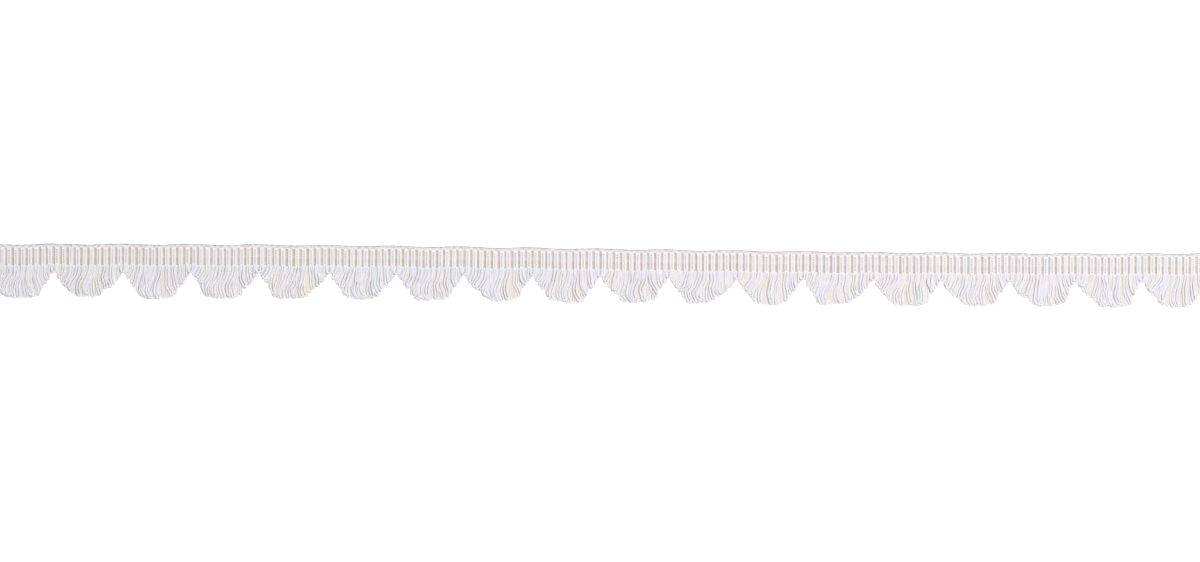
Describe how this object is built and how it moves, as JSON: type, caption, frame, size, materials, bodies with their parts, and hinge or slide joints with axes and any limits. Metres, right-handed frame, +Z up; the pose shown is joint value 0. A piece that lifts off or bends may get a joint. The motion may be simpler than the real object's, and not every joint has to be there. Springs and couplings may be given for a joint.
{
  "type": "fan edge trim",
  "caption": "Flat white cotton trimming with a ribbed woven heading along one edge and looped yarns in rounded fans along the other, to be sewn or glued on by its back.",
  "frame": {"origin": "under the middle of the part's box, on the plane of its back", "axes": "+X along the trim from its left end to its right end, +Y towards the straight edge of the heading, +Z up out of the face"},
  "size_m": [0.5758, 0.0302, 0.0019],
  "materials": {
    "heading_cotton": "matt off-white cotton, woven in ribs of paired cords",
    "loop_cotton": "matt white cotton yarn in loops"
  },
  "bodies": {
    "root": {"heading": "heading_cotton", "fan_01": "loop_cotton", "fan_02": "loop_cotton", "fan_03": "loop_cotton", "fan_04": "loop_cotton", "fan_05": "loop_cotton", "fan_06": "loop_cotton", "fan_07": "loop_cotton", "fan_08": "loop_cotton", "fan_09": "loop_cotton", "fan_10": "loop_cotton", "fan_11": "loop_cotton", "fan_12": "loop_cotton", "fan_13": "loop_cotton", "fan_14": "loop_cotton", "fan_15": "loop_cotton", "fan_16": "loop_cotton", "fan_17": "loop_cotton", "fan_18": "loop_cotton"}
  },
  "joints": []
}
